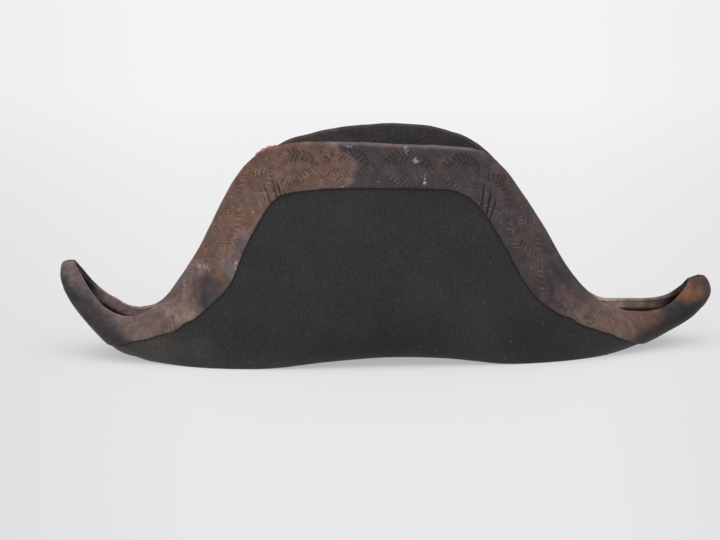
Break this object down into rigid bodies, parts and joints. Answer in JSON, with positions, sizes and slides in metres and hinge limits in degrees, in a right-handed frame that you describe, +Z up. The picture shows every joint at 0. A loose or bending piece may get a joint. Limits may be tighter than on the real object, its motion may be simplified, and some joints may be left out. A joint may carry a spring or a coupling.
{
  "type": "bicorne hat",
  "caption": "Two-pointed felt hat with a hollow crown hidden between two tall upturned brim flaps, a woven leaf-patterned ribbon folded over the brim's edge, and a pleated cockade.",
  "frame": {"origin": "on the surface the hat stands on, below the middle of its length and width", "axes": "+X from the taller left point to the right point, -Y towards the flap without the cockade, +Z up"},
  "size_m": [0.4608, 0.1381, 0.1565],
  "materials": {
    "felt": "matte black wool felt, a little dusty",
    "ribbon": "faded brown woven silk with raised leaf sprays",
    "cockade": "matte red pleated ribbon"
  },
  "bodies": {
    "root": {"felt_body": "felt", "edge_ribbon": "ribbon", "cockade": "cockade"}
  },
  "joints": []
}
